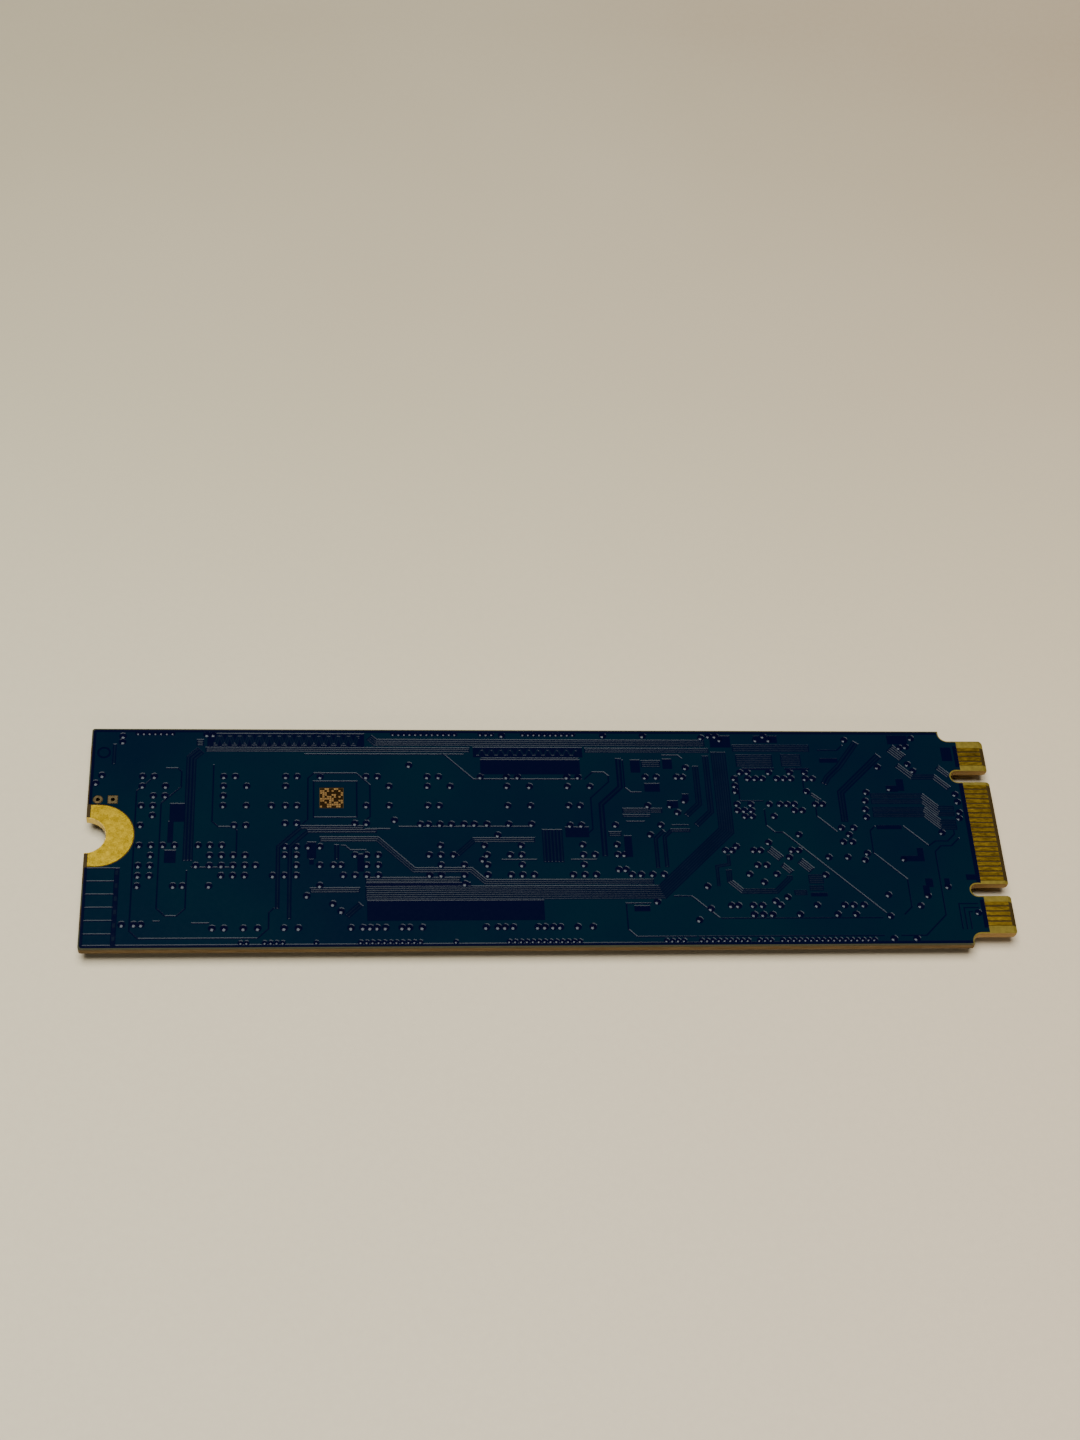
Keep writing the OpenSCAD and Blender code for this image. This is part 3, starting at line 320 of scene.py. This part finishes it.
def moulding(name, tone, speck=0.12):
    """Black moulding compound with its fine grain and pale filler specks."""
    s = Surface(name, Specular_IOR_Level=0.4)
    grain = s.noise(speck, detail=5, rough=0.7)
    drift = s.noise(3, detail=2)
    base = s.ramp(grain, (0.3, times(tone, 0.7)), (0.62, tone), (0.9, times(tone, 2.2)))
    s.colour(s.mix(s.span(drift, 0.3, 0.7, 0, 0.25), base, times(tone, 1.5)))
    s.roughness(grain, 0.5, 0.66)
    s.bump(grain, 0.006)
    return s.mat


def solder(name, tone, rough):
    """Tin, solder or steel with a fine frost on it."""
    s = Surface(name, Metallic=1.0)
    frost = s.noise(0.08, detail=4)
    dull, bright = times((0.75, 0.76, 0.78), tone), times((1, 1, 0.98), tone)
    s.colour(s.ramp(frost, (0.25, dull), (0.75, bright)))
    s.roughness(frost, rough - 0.08, rough + 0.15)
    s.bump(frost, 0.003)
    return s.mat


def ceramic(name, dark, light, rough=0.45):
    """Fired ceramic, ferrite or glaze with a fine grain."""
    s = Surface(name, Specular_IOR_Level=0.45)
    grain = s.noise(0.1, detail=4)
    s.colour(s.ramp(grain, (0.3, dark), (0.7, light)))
    s.roughness(grain, rough - 0.08, rough + 0.1)
    s.bump(grain, 0.003)
    return s.mat


finish = {
    "circuit_board": laminate(),
    "solder_mask_back": solder_mask("top_ink", POUR_STEP),
    "solder_mask_front": solder_mask("under_ink"),
    "gold_fingers_back": gold(
        "finger_gold", 0.18, 0.34, (0.15, 0.092, 0.005), (0.29, 0.195, 0.018), (3, 1, 1)
    ),
    "screw_ring_back": gold(
        "ring_gold", 0.11, 0.42, (0.15, 0.100, 0.003), (0.36, 0.262, 0.014), height=0.009
    ),
    "castellation_plating": gold(
        "wall_gold", 0.3, 0.3, (0.38, 0.26, 0.03), (0.62, 0.46, 0.10), (1, 1, 3)
    ),
    "through_hole_pads": gold(
        "pad_gold", 0.12, 0.36, (0.05, 0.040, 0.020), (0.11, 0.085, 0.045)
    ),
    "data_patch": bare_copper(),
    "far_bus_tracks": track_ink(),
    "flash_vias": via_ink(),
    "flash_package_1": moulding("flash_moulding", (0.012, 0.0122, 0.013)),
    "controller_package": moulding("controller_moulding", (0.016, 0.0162, 0.017), 0.09),
    "power_chip": moulding("power_moulding", (0.018, 0.018, 0.019), 0.07),
    "flash_balls": solder("ball_solder", 0.66, 0.24),
    "power_chip_pads": solder("tin_lead_frame", 0.60, 0.34),
    "capacitor_caps": solder("tinned_cap", 0.64, 0.36),
    "inductor_cores": ceramic("ferrite", (0.030, 0.029, 0.029), (0.055, 0.053, 0.052), 0.55),
    "capacitor_bodies": ceramic("tan_ceramic", (0.21, 0.125, 0.06), (0.31, 0.19, 0.10)),
    "bulk_capacitor_bodies": ceramic("grey_ceramic", (0.23, 0.19, 0.15), (0.31, 0.26, 0.21)),
    "resistor_bodies": ceramic("resistor_glaze", (0.008, 0.009, 0.011), (0.018, 0.019, 0.023), 0.3),
    "crystal_base": ceramic("crystal_ceramic", (0.15, 0.135, 0.11), (0.22, 0.20, 0.17), 0.5),
    "crystal_lid": solder("crystal_steel", 0.60, 0.26),
}

# Nodes that share the finish of another
ALIKE = {
    "gold_fingers_back": ["gold_fingers_front"],
    "screw_ring_back": ["screw_ring_front"],
    "data_patch": ["fiducials"],
    "far_bus_tracks": [
        "layer_marks", "memory_bus_tracks", "loop_tracks", "fan_out_tracks", "controller_tracks",
        "lane_tracks"
    ],
    "flash_vias": ["controller_vias", "edge_vias"],
    "flash_package_1": ["flash_package_2", "flash_package_3", "flash_package_4"],
    "controller_package": ["memory_package"],
    "power_chip": ["regulator_bodies"],
    "flash_balls": ["controller_balls", "memory_balls"],
    "power_chip_pads": ["regulator_leads"],
    "capacitor_caps": ["inductor_terminals", "bulk_capacitor_caps", "resistor_caps"],
}
for first, others in ALIKE.items():
    for other in others:
        finish[other] = finish[first]

for name, node in frame["nodes"].items():
    node.data.materials.clear()
    node.data.materials.append(finish[name])


# Component side: relief and solder joints too fine for the solids. Sizes are in millimetres.

# The angle, in radians, past which an edge is sharp
CREASE = 0.9
# How far the relief reaches into the card
SUNK = 0.01
# A track's width on its crest, its height, and the width of each of its slopes
TRACK_W = 0.1
TRACK_H = 0.018
TRACK_SLOPE = 0.05
# A via's radius, in the field and in a row, and its height
VIA_R = 0.2
FENCE_R = 0.17
VIA_H = 0.035
VIA_STEPS = 5
VIA_SIDES = 16
# A solder fillet: its thin edge, how it spreads at its foot and draws in at its top, and the
# power of its hollow curve
FEATHER = 0.015
SPREAD = 0.05
DRAW_IN = 0.03
HOLLOW = 2.2
FILLET_STEPS = 4


class Shape:
    """Collects closed forms, in millimetres, and makes one piece of them."""

    def __init__(self):
        self.points = []
        self.faces = []

    def skin(self, rows):
        """Adds the tube through equal closed rows of points, with both ends capped."""
        first, n = len(self.points), len(rows[0])
        self.points += [p for row in rows for p in row]
        for i in range(len(rows) - 1):
            for j in range(n):
                a, b = first + i * n + j, first + i * n + (j + 1) % n
                self.faces.append((a, b, b + n, a + n))
        self.faces.append(tuple(range(first, first + n)))
        self.faces.append(tuple(range(len(self.points) - n, len(self.points))))

    def piece(self, name, material):
        """Makes the piece, which rides on the card."""
        mesh = bpy.data.meshes.new(name)
        mesh.from_pydata([[MM * c for c in p] for p in self.points], [], self.faces)
        solid = bmesh.new()
        solid.from_mesh(mesh)
        bmesh.ops.recalc_face_normals(solid, faces=solid.faces)
        solid.to_mesh(mesh)
        solid.free()
        mesh.shade_smooth()
        mesh.set_sharp_from_angle(angle=CREASE)
        mesh.materials.append(material)
        made = bpy.data.objects.new(name, mesh)
        bpy.context.scene.collection.objects.link(made)
        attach(made, "root")


# The underside of the ink, from which the relief hangs
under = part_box("solder_mask_front")[0][2] / MM


def sideways(path, i):
    """The mitred unit offset to the left of a path at its point i."""
    ends = [Vector(p) for p in path[max(i - 1, 0):i + 2]]
    ways = [(b - a).normalized() for a, b in zip(ends, ends[1:])]
    lefts = [Vector((-w.y, w.x)) for w in ways]
    middle = sum(lefts, Vector((0, 0))).normalized()
    return middle / middle.dot(lefts[0])


def ridge(shape, path):
    """A copper track under the ink: a low ridge with sloped sides."""
    crest = TRACK_W / 2
    foot = crest + TRACK_SLOPE
    half = [(foot, under + SUNK), (foot, under), (crest, under - TRACK_H)]
    section = half + [(-reach, z) for reach, z in reversed(half)]
    rows = []
    for i, (x, y) in enumerate(path):
        side = sideways(path, i)
        rows.append([(x + side.x * reach, y + side.y * reach, z) for reach, z in section])
    shape.skin(rows)


def dome(shape, x, y, radius=VIA_R):
    """A tented via: a low dome that ends in a small flat."""
    rows = [ring(x, y, radius, under + SUNK)]
    for i in range(VIA_STEPS + 1):
        turn = 0.5 * pi * i / (VIA_STEPS + 0.35)
        rows.append(ring(x, y, radius * cos(turn), under - VIA_H * sin(turn)))
    shape.skin(rows)


def ring(x, y, radius, z):
    turns = [2 * pi * k / VIA_SIDES for k in range(VIA_SIDES)]
    return [(x + radius * cos(t), y + radius * sin(t), z) for t in turns]


def fillet(shape, foot, away, width, high, reach=0.16):
    """Solder that climbs from its pad up the end of a part, hollow as it wets it.

    foot is the middle of the end face on the card, and away is the direction out of the part.
    """
    out = Vector(away).normalized()
    side = Vector((-out.y, out.x))
    rows = []
    for i in range(FILLET_STEPS + 1):
        share = i / FILLET_STEPS
        at = Vector(foot) + out * (reach * share - SUNK)
        half = width / 2 + SPREAD * share
        top = under - FEATHER - (high - FEATHER) * (1 - share) ** HOLLOW
        lip = half - DRAW_IN * (1 - share)
        left, right = at + side * half, at - side * half
        left_top, right_top = at + side * lip, at - side * lip
        rows.append([
            (left.x, left.y, under + SUNK), (left_top.x, left_top.y, top),
            (right_top.x, right_top.y, top), (right.x, right.y, under + SUNK)
        ])
    shape.skin(rows)


def grid(start, stop, step):
    """Numbers from start to stop, both included."""
    return [start + step * i for i in range(int((stop - start) / step + 1.5))]


def turned(x, y, degrees):
    """A direction on the component side, seen from above."""
    t = radians(degrees)
    return Vector((x * cos(t) + y * sin(t), -(x * sin(t) - y * cos(t))))


def front_tracks():
    tracks = Shape()
    for i, y in enumerate(grid(9.75, 10.35, 0.2)):
        bend = y + 5.35
        ridge(tracks, [(-36.2 + 0.4 * i, -y), (bend, -y), (bend + 0.8, 0.8 - y)])
        far_bus = [(-30 + 1.5 * i, y), (15 + 0.4 * i, y)]
        if i == 0:
            far_bus.append((15.6, y - 0.5))
        ridge(tracks, far_bus)
    for start, lanes in (
        (26.2, (0.05, 0.25, 0.45, 2.1, 2.24)),
        (28.3, (-3.45, -3.6, -6.5, -6.68, -7.1, -7.28)),
    ):
        for y in lanes:
            ridge(tracks, [(start, y), (36.9, y), (37.4, y - copysign(0.5, y))])
    for i in range(4):
        x, low = -37.4 - 0.3 * i, 4.6 + 0.4 * i
        ridge(tracks, [(x, 9.2 - 0.3 * i), (x, low), (x + 0.4, low - 0.4)])
    for x in (0, 0.2, 0.4):
        y = 9.9 + x
        ridge(tracks, [(27.8 - 2 * x, y), (35.2 + x, y), (36.2 + x, y - 1)])
    tracks.piece("component_side_tracks", finish["far_bus_tracks"])


def front_vias():
    vias = Shape()
    for y in grid(-8.25, 8.25, 1.5):
        dome(vias, 13.55, y, FENCE_R)
    for x in grid(17, 36, 1):
        dome(vias, x, -10.3, FENCE_R)
    for x, column in (
        (36.2, (-8.1, -5.6, -4.6, -2.2, -1.2, 1.2, 3.4, 4.6, 5.8, 7, 8.4)),
        (26.7, (0.9, 1.5, 3.2, 4.2, 5.2, 6.2, 8)),
        (31.9, (2.8, 3.5, 5.4, 6.1)),
        (30.2, (-1, -2.5)),
    ):
        for y in column:
            dome(vias, x, y)
    for x, y in (
        (30.9, -1.8), (31.8, -1), (32.4, -2.6), (35, -3), (28.2, -8.4), (32, -4.4), (32, -5.5),
        (-38.2, 3.6), (-37.5, 3.6), (-38.2, -3.6), (-37.5, -3.6), (-37.5, -5.4), (-38.3, -6.5),
        (-37.5, -7.6), (-38.6, -8.8), (-39.2, 8.4), (-39.2, 6.3), (-39.2, -7.4)
    ):
        dome(vias, x, y)
    vias.piece("component_side_vias", finish["flash_vias"])


def chip_joints(shape, places, size, climb):
    """Fillets at both ends of two-ended parts, each place an x, a y and a turn."""
    length, width = size
    for x, y, turn in places:
        along = turned(1, 0, turn)
        for side in (1, -1):
            foot = Vector((x, y)) + along * side * length / 2
            fillet(shape, foot, along * side, width, climb)


# Length and width of the two-ended parts
SMALL = (1, 0.5)
BULK = (2, 1.25)
INDUCTOR = (2.5, 1.6)

# Places of the parts with leads, and the turn of each regulator
REGULATORS = ((33.8, 4.4, 0), (33.6, -5, 90))
POWER_CHIP = (29.4, 4.4)
CRYSTAL = (30.2, -5)


def solder_joints():
    joints = Shape()
    for places, climb in (
        ([(13, y, 90) for y in grid(-9, 9, 1.5)], 0.3),
        ([(x, 7, 0) for x in grid(27.4, 34.4, 1.4)], 0.3),
        ([(29, y, 0) for y in grid(-3, -0.6, 1.2)], 0.3),
        ([(14.1, y, 90) for y in grid(-8.4, 8.1, 1.5)], 0.22),
        ([(x, y, 0) for x in grid(29.4, 35, 1.4) for y in (-8, -9.2)], 0.22),
    ):
        chip_joints(joints, places, SMALL, climb)
    chip_joints(joints, [(x, 1.3, 0) for x in grid(28.2, 33, 2.4)], BULK, 0.5)
    cores = [(28.6, 8.6, 0), (31.6, 8.6, 0), (34.4, 8.6, 0), (34.4, -1.4, 0)]
    chip_joints(joints, cores, INDUCTOR, 0.1)

    for x, y, turn in REGULATORS:
        for side in (1, -1):
            for lead in (-0.65, 0, 0.65):
                foot = Vector((x, y)) + turned(side * 1.25, lead, turn)
                fillet(joints, foot, turned(side, 0, turn), 0.3, 0.09, 0.12)
    for turn in (0, 90, 180, 270):
        for lead in grid(-1.25, 1.25, 0.5):
            foot = Vector(POWER_CHIP) + turned(2.05, lead, turn)
            fillet(joints, foot, turned(1, 0, turn), 0.26, 0.09, 0.12)
    for side in (1, -1):
        for lead in (0.65, -0.65):
            foot = Vector(CRYSTAL) + Vector((side * 1.25, lead))
            fillet(joints, foot, (side, 0), 0.6, 0.2)
    joints.piece("solder_joints", finish["capacitor_caps"])


front_tracks()
front_vias()
solder_joints()


# Floor and light

# Half the side of the floor, in metres
FLOOR_HALF = 1.5


def paper():
    """Pale matt paper with painted light falloff: darker towards +Y, and darker and warmer towards
    +X.
    """
    s = Surface("paper", Specular_IOR_Level=0.2)
    drift = s.noise(60, detail=3)
    fibre = s.noise(0.7, detail=5, rough=0.7)
    # Painted light falloff: the paper darkens towards +Y.
    away = s.ramp(
        s.span(s.axis("Y"), -50, 110), (0.0, (0.700, 0.645, 0.535)), (0.4, (0.640, 0.595, 0.470)),
        (0.65, (0.500, 0.460, 0.355)), (1.0, (0.375, 0.335, 0.255))
    )
    # Painted light falloff: slightly cooler towards -X, darker and warmer towards +X.
    across = s.ramp(
        s.span(s.axis("X"), -70, 70), (0.0, (0.97, 1.0, 1.0)), (0.5, WHITE),
        (1.0, (0.97, 0.92, 0.90))
    )
    sheet = s.mix(1.0, away, across, "MULTIPLY")
    tinted = s.mix(s.span(drift, 0.35, 0.65, 0, 0.12), sheet, (0.600, 0.585, 0.510))
    s.colour(s.mix(s.span(fibre, 0.35, 0.65, 0, 0.10), tinted, (0.46, 0.430, 0.360)))
    s.roughness(fibre, 0.7, 0.85)
    s.bump(fibre, 0.01)
    s.bump(s.noise(25, detail=2), 0.25, 0.5)
    return s.mat


def floor():
    corners = [(FLOOR_HALF * x, FLOOR_HALF * y, 0) for x, y in ((-1, -1), (1, -1), (1, 1), (-1, 1))]
    mesh = bpy.data.meshes.new("floor")
    mesh.from_pydata(corners, [], [(0, 1, 2, 3)])
    mesh.materials.append(paper())
    sheet = bpy.data.objects.new("floor", mesh)
    bpy.context.scene.collection.objects.link(sheet)


def area_light(name, place, size, watts, colour):
    """A rectangular light that looks at the middle of the card."""
    lamp = bpy.data.lights.new(name, "AREA")
    lamp.shape = "RECTANGLE"
    lamp.size, lamp.size_y = size
    lamp.energy = watts
    lamp.color = colour
    rig = bpy.data.objects.new(name, lamp)
    bpy.context.scene.collection.objects.link(rig)
    rig.location = place
    rig.rotation_euler = (-Vector(place)).to_track_quat("-Z", "Y").to_euler()


def world(colour, strength):
    made = bpy.data.worlds.new("studio")
    bpy.context.scene.world = made
    made.use_nodes = True
    back = made.node_tree.nodes["Background"]
    back.inputs["Color"].default_value = (*colour, 1)
    back.inputs["Strength"].default_value = strength


floor()
area_light("ceiling", (-0.09, 0.03, 0.75), (0.46, 0.46), 10.5, (1.0, 0.93, 0.80))
area_light("near_fill", (0.05, -0.62, 0.36), (0.6, 0.2), 0.9, (1.0, 0.80, 0.56))
world((0.80, 0.90, 1.0), 0.015)
